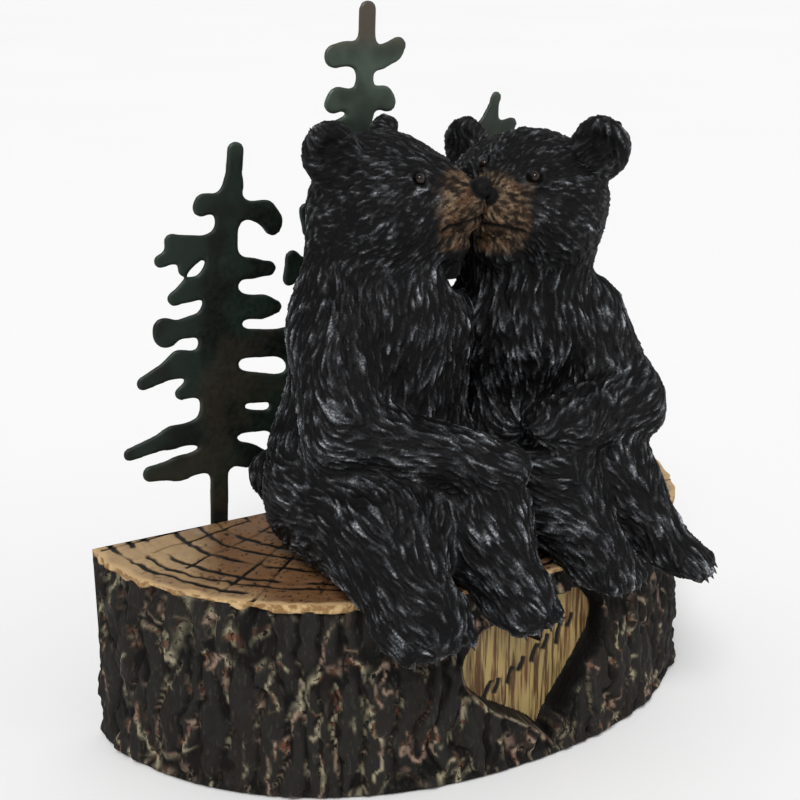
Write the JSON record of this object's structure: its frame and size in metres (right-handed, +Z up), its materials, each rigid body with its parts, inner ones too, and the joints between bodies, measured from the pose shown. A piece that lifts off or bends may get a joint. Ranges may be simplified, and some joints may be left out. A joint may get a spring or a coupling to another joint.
{
  "type": "bear couple figurine",
  "caption": "Small cast souvenir: a pair of black bears kissing, seated on a bark-covered half log with a heart recess, in front of flat cut-out pine trees",
  "frame": {"origin": "centre of the underside of the log, midway between its left and right ends, on the ground", "axes": "+Z up; the bears face -Y and their feet hang over the log's front; +X is to the right seen from the front; the log's flat back faces +Y"},
  "size_m": [0.1648, 0.0799, 0.177],
  "materials": {
    "bear_resin": "cold-cast resin fur, painted black and dry-brushed grey, brown muzzles",
    "log_resin": "cold-cast resin, painted dark bark, tan sawn top and heart floor",
    "tree_metal": "sheet steel with a dark green patina paint and copper-brown tips"
  },
  "bodies": {
    "root": {"bear_pair": "bear_resin", "log_base": "log_resin", "pine_tree_plate": "tree_metal"}
  },
  "joints": []
}
